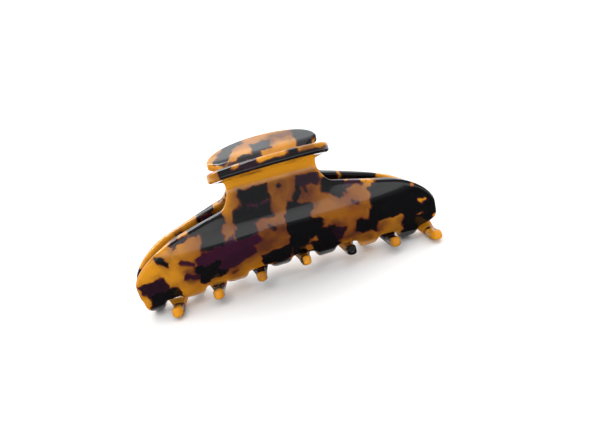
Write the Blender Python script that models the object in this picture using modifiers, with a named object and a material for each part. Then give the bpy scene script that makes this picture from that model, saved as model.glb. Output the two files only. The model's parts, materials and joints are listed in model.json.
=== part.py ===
"""A large claw clip bent from tortoiseshell cellulose acetate sheet.

Two equal jaws grip the hair. Each is one flat blank, cut to an outline and bent warm: a finger tab on
top, a narrow neck, a domed body and seven teeth that curl in under the other jaw. Lugs glued inside
the necks carry a steel pin, and a torsion spring on the pin closes the clip.

Metres, +Z up, +X along the clip. The front jaw is on the -Y side. The origin is in the middle of the
plane that the clip stands on, which the bends of its end teeth touch.
"""
import math

import bmesh
import bpy
from mathutils import Matrix, Vector
from mathutils.kdtree import KDTree

MM = 0.001

# Sheet and outline of the flat blank. Heights on the blank run along the sheet, down from the neck.
SHEET = 3.4 * MM
HALF_LENGTH = 53.4 * MM
LEFT_HALF_LENGTH = 53.0 * MM
TAB_HALF_WIDTH = 19.6 * MM
TAB_ROUND = 10.6 * MM
TAB_CURVE = 2.15
NECK_HALF_WIDTH = 15.0 * MM
SHOULDER_HALF_WIDTH = 17.8 * MM
WAIST_LINE = -3.6 * MM
NECK_LINE = -1.0 * MM
SHOULDER_LINE = 4.9 * MM
NECK_FILLET = 2.4
TOP_SLOPE = 0.18
TOP_ROUND_START = 38.0 * MM
LEFT_ROUND_START = 32.0 * MM
LOWER_EDGE = 29.1 * MM
LOWER_ROUND_START = 43.0 * MM
END_MIDDLE = 22.5 * MM
END_FLAT = 2.0 * MM

# Bends, as seen from the clip's end. Angles are measured from straight down, positive outward.
NECK_OFFSET = 4.7 * MM
TAB_BEND_RADIUS = 6.4 * MM
TAB_BEND_ANGLE = math.radians(71.5)
TAB_FLAT = 10.4 * MM
SHOULDER_RADIUS = 5.2 * MM
SHOULDER_ANGLE = math.radians(29.0)
BODY_RADIUS = 24.0 * MM
TOOTH_BEND_RADIUS = 8.0 * MM
TOOTH_ANGLE = math.radians(105.0)
TOOTH_FLAT = 5.0 * MM

# The body's ends are drawn in until the two jaws' rims meet, and they hang lower than its middle.
RIM_GAP = 0.5 * MM
END_OFFSET = (SHEET + RIM_GAP) / 2
END_CURVE = 1.6
END_SETTLE = 10.0 * MM
SAG = 4.9 * MM
SAG_CURVE = 1.3
SAG_SETTLE = 8.0 * MM

# Teeth. A jaw's teeth stand a quarter pitch to one side, so that the two rows interlock.
TEETH = 7
MIDDLE_TOOTH = TEETH // 2
PITCH = 15.9 * MM
PITCH_SHRINK = 0.04
TOOTH_HALF_WIDTH = 1.8 * MM
ROOT_FLARE = 2.2 * MM
END_ROOT_FLARE = 0.3 * MM
FLARE_LENGTH = 8.0 * MM
NOTCH_ROUND = 0.6 * MM
NOTCH_LENGTH = 1.4 * MM
ROOT_SETTLE = 3.6 * MM
TIP_ROUND = 2.1 * MM
TIP_STEPS = (1.0, 0.55, 0.25, 0.07)

EDGE_ROUNDING = 1.1 * MM
EDGE_THICKNESS = 0.4
TOUCHING_GAP = 0.3 * MM

# Mesh steps of the blank. The first and last ones lie close to the cut edges, to round them.
ACROSS_TAB = (-1.0, -0.93, -0.72, -0.48, -0.24, 0.0, 0.24, 0.48, 0.72, 0.93, 1.0)
DOWN_TAB = (0.0, 0.08, 0.24, 0.4, 0.56, 0.72, 0.87, 1.0)
TAB_NECK_ROWS = (-6.6 * MM, -5.4 * MM, -4.3 * MM, -3.1 * MM)
NECK_ROWS = (*TAB_NECK_ROWS, NECK_LINE, 1.0 * MM, 2.7 * MM, 4.0 * MM, SHOULDER_LINE)
TIP_CORNER = math.radians(34.0)
SIDE_COLUMNS = 18
BODY_ROWS = 9
DOWN_ROOT = (0.45 * MM, 1.4 * MM, 3.2 * MM, 5.0 * MM)
TOOTH_BEND_STEP = math.radians(15.0)
LEAST_INNER_COLUMN = 0.35
MOST_EDGE_SHARE = 0.3
SEAM_WELD = 0.02 * MM
POINT_WELD = 0.001 * MM

# Hinge.
PIN_RADIUS = 1.1 * MM
PIN_HEAD_RADIUS = 1.9 * MM
PIN_HEAD_LENGTH = 0.9 * MM
PIN_HEAD_FLAT = 0.7
PIN_STEPS = 16
LUG_RADIUS = NECK_OFFSET - SHEET / 2 - TOUCHING_GAP
LUG_WIDTH = 2.5 * MM
LUG_WING = 3.6 * MM
LUG_WING_THICKNESS = 1.0 * MM
LUG_SHOULDER_ANGLE = math.radians(70.0)
LUG_INNER_FACE = 5.8 * MM
LUG_SEAT_STEPS = 8
LUG_RING_STEPS = 12

# Spring.
WIRE_RADIUS = 0.4 * MM
COIL_RADIUS = 1.95 * MM
COIL_PITCH = 0.95 * MM
COIL_TURNS = 4.75
COIL_STEPS_A_TURN = 10
COIL_START = WIRE_RADIUS + TOUCHING_GAP / 2
LEG_START = 1.8 * MM
LEG_LENGTH = 3.6 * MM
LEG_STEPS = 2

TAB_BEND_LENGTH = TAB_BEND_RADIUS * TAB_BEND_ANGLE
TAB_TIP = -(TAB_BEND_LENGTH + TAB_FLAT)
TAB_WIDEST = TAB_TIP + TAB_ROUND
SHOULDER_LENGTH = SHOULDER_RADIUS * SHOULDER_ANGLE
BODY_LEAN = SHOULDER_ANGLE - (LOWER_EDGE - SHOULDER_LENGTH) / BODY_RADIUS
TOOTH_BEND_LENGTH = TOOTH_BEND_RADIUS * (TOOTH_ANGLE + BODY_LEAN)
TOOTH_END = LOWER_EDGE + TOOTH_BEND_LENGTH + TOOTH_FLAT


def smooth(value):
    """Ease from 0 to 1 with level ends."""
    value = min(max(value, 0.0), 1.0)
    return value * value * (3 - 2 * value)


def along_arc(lean, length, radius):
    """Outward and upward travel of a downward arc that starts at a lean and turns back inward."""
    if length <= 0:
        return 0.0, 0.0
    end = lean - length / radius
    return radius * (math.cos(end) - math.cos(lean)), -radius * (math.sin(lean) - math.sin(end))


def section(height):
    """End view of the bent sheet: outward travel, height above the neck and lean, at a blank height."""
    if height < 0:
        lean = -min(-height / TAB_BEND_RADIUS, TAB_BEND_ANGLE)
        flat = max(-height - TAB_BEND_LENGTH, 0.0)
        outward = TAB_BEND_RADIUS * (1 - math.cos(lean)) - flat * math.sin(lean)
        upward = -TAB_BEND_RADIUS * math.sin(lean) + flat * math.cos(lean)
        return outward, upward, lean
    shoulder = min(height, SHOULDER_LENGTH)
    lean = shoulder / SHOULDER_RADIUS
    outward = SHOULDER_RADIUS * (1 - math.cos(lean))
    upward = -SHOULDER_RADIUS * math.sin(lean)
    stretches = (
        (min(height, LOWER_EDGE) - SHOULDER_LENGTH, BODY_RADIUS),
        (min(height - LOWER_EDGE, TOOTH_BEND_LENGTH), TOOTH_BEND_RADIUS),
    )
    for length, radius in stretches:
        travel = along_arc(lean, length, radius)
        outward += travel[0]
        upward += travel[1]
        lean -= max(length, 0.0) / radius
    flat = max(height - LOWER_EDGE - TOOTH_BEND_LENGTH, 0.0)
    return outward + flat * math.sin(lean), upward - flat * math.cos(lean), lean


def sag_at(x):
    """How much lower the body hangs at a place along the clip than in its middle."""
    return SAG * (abs(x) / HALF_LENGTH) ** SAG_CURVE


def bent_point(x, height, level=None, lift=0.0):
    """Place of a blank point on the bent front jaw, from the pin's axis. Lift is along the normal."""
    outward, upward, lean = section(height)
    low_outward = section(min(max(height, 0.0), LOWER_EDGE))[0]
    drawn_in = (abs(x) / HALF_LENGTH) ** END_CURVE * smooth(height / END_SETTLE)
    inward = drawn_in * (NECK_OFFSET + low_outward - END_OFFSET)
    sag = (sag_at(x) if level is None else level) * smooth(height / SAG_SETTLE)
    y = NECK_OFFSET + outward - inward + lift * math.cos(lean)
    return Vector((x, -y, upward - sag + lift * math.sin(lean)))


def tooth_pair_x(number):
    """Middle of the place that one tooth of each jaw share. Pairs crowd a little toward the ends."""
    step = number - MIDDLE_TOOTH
    return step * PITCH * (1 - PITCH_SHRINK * (step / MIDDLE_TOOTH) ** 2)


def tooth_x(number):
    """Middle of a tooth of the front jaw. The back jaw is the same jaw turned half round."""
    return tooth_pair_x(number) - PITCH / 4


def root_flares(number):
    """How far a tooth's root spreads left and right. An end tooth runs straight into the body's end."""
    left = END_ROOT_FLARE if number == 0 else ROOT_FLARE
    return left, ROOT_FLARE


def end_sizes(x):
    """Half length on one side, and where the upper edge's round starts there. The left end is rounder."""
    return (LEFT_HALF_LENGTH, LEFT_ROUND_START) if x < 0 else (HALF_LENGTH, TOP_ROUND_START)


def top_edge(x):
    """Blank height of the body's upper edge: a gentle slope and a quarter round to its end."""
    half_length, start = end_sizes(x)
    x = abs(x)
    slope = SHOULDER_LINE + TOP_SLOPE * max(x - SHOULDER_HALF_WIDTH, 0.0)
    part = max(x - start, 0.0) / (half_length - start)
    end = END_MIDDLE - END_FLAT
    return end - (end - slope) * math.sqrt(max(1 - part**2, 0.0))


def lower_edge(x):
    """Blank height of the body's lower edge, with a smaller round to its end."""
    part = max(abs(x) - LOWER_ROUND_START, 0.0) / (end_sizes(x)[0] - LOWER_ROUND_START)
    end = END_MIDDLE + END_FLAT
    return end + (LOWER_EDGE - end) * math.sqrt(max(1 - part**2, 0.0))


def neck_half_width(height):
    """Half width of the blank from the tab's widest line down to the shoulder."""
    waist = smooth((height - TAB_WIDEST) / (WAIST_LINE - TAB_WIDEST))
    spread = max(height - NECK_LINE, 0.0) / (SHOULDER_LINE - NECK_LINE)
    widening = (SHOULDER_HALF_WIDTH - NECK_HALF_WIDTH) * spread**NECK_FILLET
    return TAB_HALF_WIDTH + (NECK_HALF_WIDTH - TAB_HALF_WIDTH) * waist + widening


def upper_stations():
    """Column places along the body's upper edge: those of the tab over the shoulder, closer at the ends."""
    start = SHOULDER_HALF_WIDTH + EDGE_ROUNDING
    shares = [math.sin(math.pi / 2 * step / (SIDE_COLUMNS - 1)) for step in range(SIDE_COLUMNS)]
    left = [-start - (LEFT_HALF_LENGTH - start) * share for share in reversed(shares)]
    shoulder = [SHOULDER_HALF_WIDTH * across for across in ACROSS_TAB]
    right = [start + (HALF_LENGTH - start) * share for share in shares]
    return left + shoulder + right


def tooth_columns(width_left, width_right):
    """Five column places across a tooth, from its middle, the second and fourth close to its edges."""
    left_inner = max(width_left - EDGE_ROUNDING, width_left * LEAST_INNER_COLUMN)
    right_inner = max(width_right - EDGE_ROUNDING, width_right * LEAST_INNER_COLUMN)
    return -width_left, -left_inner, 0.0, right_inner, width_right


def lower_stations():
    """Column places along the body's lower edge: five at each root, one between, and those beyond."""
    places = []
    for number in range(TEETH):
        left, right = root_flares(number)
        widths = [TOOTH_HALF_WIDTH + flare + NOTCH_ROUND for flare in (left, right)]
        root = [tooth_x(number) + x for x in tooth_columns(*widths)]
        if places:
            places.append((places[-1] + root[0]) / 2)
        places.extend(root)
    places = [-LEFT_HALF_LENGTH, (places[0] - LEFT_HALF_LENGTH) / 2] + places
    start = places[-1]
    steps = len(upper_stations()) - len(places)
    for step in range(1, steps + 1):
        places.append(start + (HALF_LENGTH - start) * math.sin(math.pi / 2 * step / steps))
    return places


def add_patch(blank, columns, rows, place):
    """Add a grid whose corners go to place(column, row)."""
    grid = bmesh.ops.create_grid(blank, x_segments=columns, y_segments=rows, size=1.0)
    for corner in grid["verts"]:
        column = round((corner.co.x + 1) / 2 * columns)
        row = round((1 - corner.co.y) / 2 * rows)
        corner.co = place(column, row)


def add_tab(blank):
    """The finger tab, half an oval, and the neck below it down to the shoulder."""
    tab_rows = len(DOWN_TAB) - 1

    def place(column, row):
        across = ACROSS_TAB[column]
        if row > tab_rows:
            height = NECK_ROWS[row - tab_rows - 1]
            return bent_point(across * neck_half_width(height), height)
        part = DOWN_TAB[row]
        corner = TIP_CORNER + (math.pi / 2 - TIP_CORNER) * part
        middle = TAB_TIP + TAB_ROUND * part
        side = TAB_WIDEST - TAB_ROUND * math.cos(corner) ** (2 / TAB_CURVE)
        x = across * TAB_HALF_WIDTH * math.sin(corner)
        return bent_point(x, middle + (side - middle) * across**2)

    add_patch(blank, len(ACROSS_TAB) - 1, tab_rows + len(NECK_ROWS), place)


def add_body(blank):
    """The domed body between its upper and lower edges."""
    upper = upper_stations()
    lower = lower_stations()

    def place(column, row):
        top = top_edge(upper[column])
        length = lower_edge(lower[column]) - top
        margin = min(EDGE_ROUNDING / length, MOST_EDGE_SHARE)
        part = margin + (1 - 2 * margin) * (row - 1) / (BODY_ROWS - 2)
        if row in (0, BODY_ROWS):
            part = row / BODY_ROWS
        x = upper[column] + (lower[column] - upper[column]) * part
        return bent_point(x, top + length * part)

    add_patch(blank, len(upper) - 1, BODY_ROWS, place)


def tooth_heights():
    """Blank heights of a tooth's rows past its root. The bend has one level facet at its lowest."""
    start = LOWER_EDGE + TOOTH_BEND_RADIUS * (math.pi / 2 + BODY_LEAN - TOOTH_BEND_STEP / 2)
    step = TOOTH_BEND_RADIUS * TOOTH_BEND_STEP
    root = [LOWER_EDGE + down for down in DOWN_ROOT]
    bend = [start, start + step, LOWER_EDGE + TOOTH_BEND_LENGTH]
    return root + bend + [TOOTH_END - step * TIP_ROUND for step in TIP_STEPS]


def add_tooth(blank, number):
    """A tooth that tapers from a broad root with small fillets, curled inward and rounded at its tip."""
    middle = tooth_x(number)
    flares = root_flares(number)
    level = sag_at(tooth_pair_x(number))
    heights = tooth_heights()

    def half_width(height, flare):
        taper = flare * (1 - smooth((height - LOWER_EDGE) / FLARE_LENGTH))
        past_notch = min((height - LOWER_EDGE) / NOTCH_LENGTH, 1.0)
        fillet = NOTCH_ROUND * (1 - math.sqrt(1 - (1 - past_notch) ** 2))
        tip = max(1 - (TOOTH_END - height) / TIP_ROUND, 0.0)
        return (TOOTH_HALF_WIDTH + taper + fillet) * math.sqrt(1 - tip**2)

    def place(column, row):
        if row == 0:
            widths = [TOOTH_HALF_WIDTH + flare + NOTCH_ROUND for flare in flares]
            x = middle + tooth_columns(*widths)[column]
            return bent_point(x, lower_edge(x))
        height = heights[row - 1]
        x = middle + tooth_columns(*[half_width(height, flare) for flare in flares])[column]
        settled = smooth((height - LOWER_EDGE) / ROOT_SETTLE)
        sag = sag_at(x) + (level - sag_at(x)) * settled
        point = bent_point(x, height, sag)
        straight = bent_point(middle, height, sag)
        point.y += (straight.y - point.y) * settled
        return point

    add_patch(blank, 4, len(heights), place)


def jaw_mesh():
    """The bent blank as an open surface half way through the sheet, with the pin's axis at the origin."""
    blank = bmesh.new()
    add_tab(blank)
    add_body(blank)
    for number in range(TEETH):
        add_tooth(blank, number)
    bmesh.ops.remove_doubles(blank, verts=blank.verts, dist=SEAM_WELD)
    bmesh.ops.recalc_face_normals(blank, faces=blank.faces)
    mesh = bpy.data.meshes.new("jaw")
    blank.to_mesh(mesh)
    blank.free()
    mesh.shade_smooth()
    return mesh


def edge_thickness(mesh):
    """Share of the full thickness at each corner of the blank: less at the cut edges, which are rounded."""
    blank = bmesh.new()
    blank.from_mesh(mesh)
    cut = [corner.co.copy() for corner in blank.verts if corner.is_boundary]
    cut_edge = KDTree(len(cut))
    for index, place in enumerate(cut):
        cut_edge.insert(place, index)
    cut_edge.balance()
    shares = []
    for corner in blank.verts:
        away = min(cut_edge.find(corner.co)[2] / EDGE_ROUNDING, 1.0)
        shares.append(EDGE_THICKNESS + (1 - EDGE_THICKNESS) * math.sqrt(1 - (1 - away) ** 2))
    blank.free()
    return shares


def hinge_height():
    """Height of the pin above the plane that the level facets of the end teeth touch."""
    facet = LOWER_EDGE + TOOTH_BEND_RADIUS * (math.pi / 2 + BODY_LEAN - TOOTH_BEND_STEP / 2)
    lowest = bent_point(tooth_x(0), facet, sag_at(tooth_pair_x(0)))
    return SHEET / 2 - lowest.z


def add_thickness(jaw, shares):
    """Give the blank its thickness, with its cut edges rounded as a polisher leaves them."""
    group = jaw.vertex_groups.new(name="thickness")
    for index, share in enumerate(shares):
        group.add([index], share, "REPLACE")
    solid = jaw.modifiers.new("sheet thickness", "SOLIDIFY")
    solid.thickness = SHEET
    solid.offset = 0.0
    solid.use_even_offset = True
    solid.vertex_group = group.name
    solid.thickness_vertex_group = 0.0


def flat_outline_mesh(name, outlines, thickness):
    """A plate cut to closed outlines, the second of which is a hole, centred on its own plane."""
    curve = bpy.data.curves.new(name, "CURVE")
    curve.dimensions = "2D"
    curve.fill_mode = "BOTH"
    curve.extrude = thickness / 2
    for outline in outlines:
        spline = curve.splines.new("POLY")
        spline.points.add(len(outline) - 1)
        for point, (u, v) in zip(spline.points, outline):
            point.co = (u, v, 0.0, 1.0)
        spline.use_cyclic_u = True
    return curve_to_mesh(curve)


def curve_to_mesh(curve):
    """Turn a curve into a welded mesh and remove the curve."""
    guide = bpy.data.objects.new(curve.name, curve)
    bpy.context.scene.collection.objects.link(guide)
    depsgraph = bpy.context.evaluated_depsgraph_get()
    mesh = bpy.data.meshes.new_from_object(guide.evaluated_get(depsgraph))
    name = curve.name
    bpy.data.objects.remove(guide)
    bpy.data.curves.remove(curve)
    mesh.name = name
    shape = bmesh.new()
    shape.from_mesh(mesh)
    bmesh.ops.remove_doubles(shape, verts=shape.verts, dist=POINT_WELD)
    bmesh.ops.recalc_face_normals(shape, faces=shape.faces)
    shape.to_mesh(mesh)
    shape.free()
    return mesh


def lug_mesh():
    """A hinge lug: a ring round the pin with two wings that follow the neck's inner face."""
    offset = -(SHEET / 2 + TOUCHING_GAP)
    outline = []
    for step in range(LUG_SEAT_STEPS + 1):
        height = LUG_WING * (2 * step / LUG_SEAT_STEPS - 1)
        seat = bent_point(0.0, height, 0.0, offset)
        outline.append((-seat.y, seat.z))
    low = outline[-1]
    high = outline[0]
    outline.append((low[0] - LUG_WING_THICKNESS, low[1]))
    sweep = 2 * (math.pi - LUG_SHOULDER_ANGLE)
    for step in range(LUG_RING_STEPS + 1):
        angle = -LUG_SHOULDER_ANGLE - sweep * step / LUG_RING_STEPS
        outline.append((LUG_RADIUS * math.cos(angle), LUG_RADIUS * math.sin(angle)))
    outline.append((high[0] - LUG_WING_THICKNESS, high[1]))
    bore = []
    for step in range(PIN_STEPS):
        angle = 2 * math.pi * step / PIN_STEPS
        radius = PIN_RADIUS + TOUCHING_GAP
        bore.append((radius * math.cos(angle), radius * math.sin(angle)))
    mesh = flat_outline_mesh("lug", (outline, bore), LUG_WIDTH)
    outward_to_front = Matrix(((0, 0, -1, 0), (-1, 0, 0, 0), (0, 1, 0, 0), (0, 0, 0, 1)))
    mesh.transform(outward_to_front)
    return mesh


def spring_mesh():
    """Half of the torsion spring: close turns round the pin and a leg against the tab's inner face."""
    points = []
    steps = round(COIL_TURNS * COIL_STEPS_A_TURN)
    for step in range(steps + 1):
        turns = COIL_TURNS * step / steps
        angle = math.pi / 2 - 2 * math.pi * turns
        x = -COIL_START - COIL_PITCH * turns
        points.append(Vector((x, COIL_RADIUS * math.cos(angle), COIL_RADIUS * math.sin(angle))))
    leg_x = points[-1].x
    offset = -(SHEET / 2 + TOUCHING_GAP + WIRE_RADIUS)
    for step in range(LEG_STEPS + 1):
        height = -LEG_START - (LEG_LENGTH - LEG_START) * step / LEG_STEPS
        points.append(bent_point(leg_x, height, 0.0, offset))
    curve = bpy.data.curves.new("spring half", "CURVE")
    curve.dimensions = "3D"
    curve.bevel_depth = WIRE_RADIUS
    curve.bevel_resolution = 2
    curve.use_fill_caps = True
    spline = curve.splines.new("POLY")
    spline.points.add(len(points) - 1)
    for point, place in zip(spline.points, points):
        point.co = (*place, 1.0)
    mesh = curve_to_mesh(curve)
    mesh.shade_smooth()
    return mesh


def pin_mesh():
    """The pin with its two peened heads, a profile that is turned about the pin's axis."""
    half = LUG_INNER_FACE + 2 * LUG_WIDTH + 2 * TOUCHING_GAP
    end = half + PIN_HEAD_LENGTH
    profile = [(0.0, end), (PIN_HEAD_RADIUS * PIN_HEAD_FLAT, end)]
    profile.append((PIN_HEAD_RADIUS, end - PIN_HEAD_LENGTH / 2))
    profile += [(PIN_HEAD_RADIUS, half), (PIN_RADIUS, half)]
    profile += [(radius, -place) for radius, place in reversed(profile)]
    mesh = bpy.data.meshes.new("pin")
    turned = bmesh.new()
    corners = [turned.verts.new((radius, 0.0, place)) for radius, place in profile]
    edges = [turned.edges.new(pair) for pair in zip(corners, corners[1:])]
    turned_line = corners + edges
    bmesh.ops.spin(
        turned, geom=turned_line, axis=(0, 0, 1), angle=2 * math.pi, steps=PIN_STEPS, use_merge=True
    )
    bmesh.ops.remove_doubles(turned, verts=turned.verts, dist=POINT_WELD)
    bmesh.ops.recalc_face_normals(turned, faces=turned.faces)
    turned.to_mesh(mesh)
    turned.free()
    mesh.transform(Matrix.Rotation(math.pi / 2, 4, "Y"))
    return mesh


def new_material(name, colour, roughness, metallic=0.0):
    """A plain finish of one colour."""
    material = bpy.data.materials.new(name)
    material.use_nodes = True
    shader = material.node_tree.nodes["Principled BSDF"]
    shader.inputs["Base Color"].default_value = (*colour, 1.0)
    shader.inputs["Roughness"].default_value = roughness
    shader.inputs["Metallic"].default_value = metallic
    return material


def amber_acetate():
    return new_material("amber tortoiseshell acetate", (0.42, 0.17, 0.03), 0.12)


def dark_acetate():
    return new_material("dark tortoiseshell acetate", (0.035, 0.018, 0.015), 0.15)


def pin_steel():
    return new_material("polished pin steel", (0.62, 0.60, 0.56), 0.25, 1.0)


def spring_steel():
    return new_material("spring steel", (0.50, 0.49, 0.47), 0.35, 1.0)


def place_piece(collection, name, mesh, material, parent=None, x=0.0):
    """Put a piece into the clip. A piece of a jaw is placed from that jaw's own axis."""
    piece = bpy.data.objects.new(name, mesh)
    collection.objects.link(piece)
    piece.location.x = x
    piece.parent = parent
    if not mesh.materials:
        mesh.materials.append(material)
    piece.material_slots[0].link = "OBJECT"
    piece.material_slots[0].material = material
    return piece


def build_clip():
    """All pieces of the clip, closed."""
    collection = bpy.data.collections.new("claw_clip")
    bpy.context.scene.collection.children.link(collection)
    amber = amber_acetate()
    dark = dark_acetate()
    shares = edge_thickness(jaw_mesh())
    jaws = {}
    for side, turn in (("front", 0.0), ("back", math.pi)):
        jaw = place_piece(collection, side + "_jaw", jaw_mesh(), amber)
        jaw.location.z = hinge_height()
        jaw.rotation_euler.z = turn
        add_thickness(jaw, shares)
        jaws[side] = jaw
    lug = lug_mesh()
    inner = LUG_INNER_FACE + LUG_WIDTH / 2
    outer = inner + LUG_WIDTH + TOUCHING_GAP
    for side, place in (("front", outer), ("back", inner)):
        for hand, sign in (("left", -1), ("right", 1)):
            turned = sign if side == "front" else -sign
            place_piece(collection, f"{side}_lug_{hand}", lug, dark, jaws[side], turned * place)
    wire = spring_steel()
    half_spring = spring_mesh()
    for side in ("front", "back"):
        place_piece(collection, side + "_spring_half", half_spring, wire, jaws[side])
    place_piece(collection, "hinge_pin", pin_mesh(), pin_steel(), jaws["front"])


for old in list(bpy.data.objects):
    bpy.data.objects.remove(old)
build_clip()
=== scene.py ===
"""A large claw clip bent from tortoiseshell cellulose acetate, as a finished and polished piece."""
import json
import math

import bpy
import numpy as np
from mathutils import Matrix, Vector
from mathutils.geometry import delaunay_2d_cdt


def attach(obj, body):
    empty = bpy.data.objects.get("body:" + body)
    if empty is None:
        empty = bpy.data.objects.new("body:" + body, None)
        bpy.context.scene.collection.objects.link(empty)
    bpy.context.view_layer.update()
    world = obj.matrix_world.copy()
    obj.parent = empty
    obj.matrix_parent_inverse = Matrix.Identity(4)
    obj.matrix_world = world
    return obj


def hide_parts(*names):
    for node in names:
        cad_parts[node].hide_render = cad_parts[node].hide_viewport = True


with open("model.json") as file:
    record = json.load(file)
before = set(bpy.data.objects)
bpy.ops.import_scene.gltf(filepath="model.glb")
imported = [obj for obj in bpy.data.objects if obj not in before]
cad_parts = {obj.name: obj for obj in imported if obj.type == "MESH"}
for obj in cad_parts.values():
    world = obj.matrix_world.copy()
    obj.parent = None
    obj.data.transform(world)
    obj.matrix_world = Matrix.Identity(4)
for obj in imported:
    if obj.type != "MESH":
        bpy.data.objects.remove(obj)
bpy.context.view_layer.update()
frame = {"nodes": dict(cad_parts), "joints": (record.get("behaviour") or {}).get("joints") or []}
MM = 0.001


# The two jaws. Each is one blank of tortoiseshell cellulose acetate sheet, sawn to an outline, its cut
# edge rounded on a wheel, then bent warm: the finger tab outward, the body into a dome, and the seven
# teeth inward. The back jaw is the same bent blank turned half round, from another part of the sheet.

# Sizes of the blank in millimetres: x runs along the clip, and the height runs down it from the neck.
HALF_LENGTH = 53.4
LEFT_HALF_LENGTH = 53.0
TAB_HALF_WIDTH = 19.6
TAB_ROUND = 10.6
TAB_CURVE = 2.15
NECK_HALF_WIDTH = 15.0
SHOULDER_HALF_WIDTH = 17.8
WAIST_LINE = -3.6
NECK_LINE = -1.0
SHOULDER_LINE = 4.9
NECK_FILLET = 2.4
TOP_SLOPE = 0.18
TOP_ROUND_START = 38.0
LEFT_ROUND_START = 32.0
LOWER_EDGE = 29.1
LOWER_ROUND_START = 43.0
END_MIDDLE = 22.5
END_FLAT = 2.0

# Bends, in millimetres and radians.
SHEET = 3.4
POLISHED_OFF = 0.16
NECK_OFFSET = 4.7
TAB_BEND_RADIUS = 6.4
TAB_BEND_ANGLE = math.radians(71.5)
TAB_FLAT = 10.36
SHOULDER_RADIUS = 5.2
SHOULDER_ANGLE = math.radians(29.0)
BODY_RADIUS = 24.0
TOOTH_BEND_RADIUS = 8.0
TOOTH_ANGLE = math.radians(105.0)
TOOTH_FLAT = 5.0
END_OFFSET = 1.95
END_CURVE = 1.6
END_SETTLE = 10.0
SAG = 4.9
SAG_CURVE = 1.3
SAG_SETTLE = 8.0
HINGE_HEIGHT = frame["joints"][0]["pos_m"][2] / MM

# Teeth, in millimetres.
TEETH = 7
MIDDLE_TOOTH = TEETH // 2
PITCH = 15.9
PITCH_SHRINK = 0.04
TOOTH_HALF_WIDTH = 1.8
ROOT_FLARE = 2.2
END_ROOT_FLARE = 0.3
FLARE_LENGTH = 8.0
NOTCH_ROUND = 0.6
NOTCH_LENGTH = 1.4
ROOT_SETTLE = 3.6
TIP_ROUND = 2.1

# The rounded edge, and how finely the sheet is meshed, in millimetres and points.
EDGE_ROUNDING = 1.1
EDGE_THICKNESS = 0.4
EDGE_TURNS = np.radians((0, 15, 30, 50, 70, 90))
OUTLINE_STEP = 0.36
FACE_STEP = 0.55
FACE_MARGIN = 0.6 * FACE_STEP
SAME_PLACE = 0.01
JOIN_WITHIN = 1e-6
CORNER_POLISH = 5
TAB_POINTS = 121
NECK_POINTS = 60
BODY_POINTS = 120
TIP_POINTS = 12
FLARE_POINTS = 16
POINT_BLOCK = 1500

TAB_BEND_LENGTH = TAB_BEND_RADIUS * TAB_BEND_ANGLE
TAB_TIP = -(TAB_BEND_LENGTH + TAB_FLAT)
TAB_WIDEST = TAB_TIP + TAB_ROUND
SHOULDER_LENGTH = SHOULDER_RADIUS * SHOULDER_ANGLE
BODY_LENGTH = LOWER_EDGE - SHOULDER_LENGTH
BODY_LEAN = SHOULDER_ANGLE - BODY_LENGTH / BODY_RADIUS
TOOTH_BEND_LENGTH = TOOTH_BEND_RADIUS * (TOOTH_ANGLE + BODY_LEAN)
TOOTH_END = LOWER_EDGE + TOOTH_BEND_LENGTH + TOOTH_FLAT


def smooth(value):
    """Ease from 0 to 1 with level ends: 3v squared less 2v cubed."""
    value = np.clip(value, 0.0, 1.0)
    return value * value * (3 - 2 * value)


def section(height):
    """End view of the bent sheet: outward travel and upward travel, summed over its arcs.

    An arc that starts at lean a and curves by k a millimetre travels (cos a - cos b) / k outward and
    (sin b - sin a) / k downward to lean b. A flat stretch travels sin a outward and cos a downward.
    """
    stretches = (
        (np.clip(-height, 0, TAB_BEND_LENGTH), 0.0, -1 / TAB_BEND_RADIUS, -1),
        (np.clip(-height - TAB_BEND_LENGTH, 0, None), -TAB_BEND_ANGLE, 0.0, -1),
        (np.clip(height, 0, SHOULDER_LENGTH), 0.0, 1 / SHOULDER_RADIUS, 1),
        (np.clip(height - SHOULDER_LENGTH, 0, BODY_LENGTH), SHOULDER_ANGLE, -1 / BODY_RADIUS, 1),
        (np.clip(height - LOWER_EDGE, 0, TOOTH_BEND_LENGTH), BODY_LEAN, -1 / TOOTH_BEND_RADIUS, 1),
        (np.clip(height - LOWER_EDGE - TOOTH_BEND_LENGTH, 0, None), -TOOTH_ANGLE, 0.0, 1),
    )
    outward = np.zeros_like(height)
    upward = np.zeros_like(height)
    for length, start, curve, sense in stretches:
        if curve:
            end = start + curve * length
            outward += sense * (np.cos(start) - np.cos(end)) / curve
            upward -= sense * (np.sin(end) - np.sin(start)) / curve
        else:
            outward += sense * length * math.sin(start)
            upward -= sense * length * math.cos(start)
    return outward, upward


def sag_at(x):
    """How much lower the body hangs away from its middle: a power of the share of its half length."""
    return SAG * (np.abs(x) / HALF_LENGTH) ** SAG_CURVE


def tooth_pair_x(number):
    """Middle of the place that one tooth of each jaw share: even steps that shrink toward the ends."""
    step = number - MIDDLE_TOOTH
    return step * PITCH * (1 - PITCH_SHRINK * (step / MIDDLE_TOOTH) ** 2)


def tooth_x(number):
    """Middle of a tooth: a quarter pitch left of the middle of its pair."""
    return tooth_pair_x(number) - PITCH / 4


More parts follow.
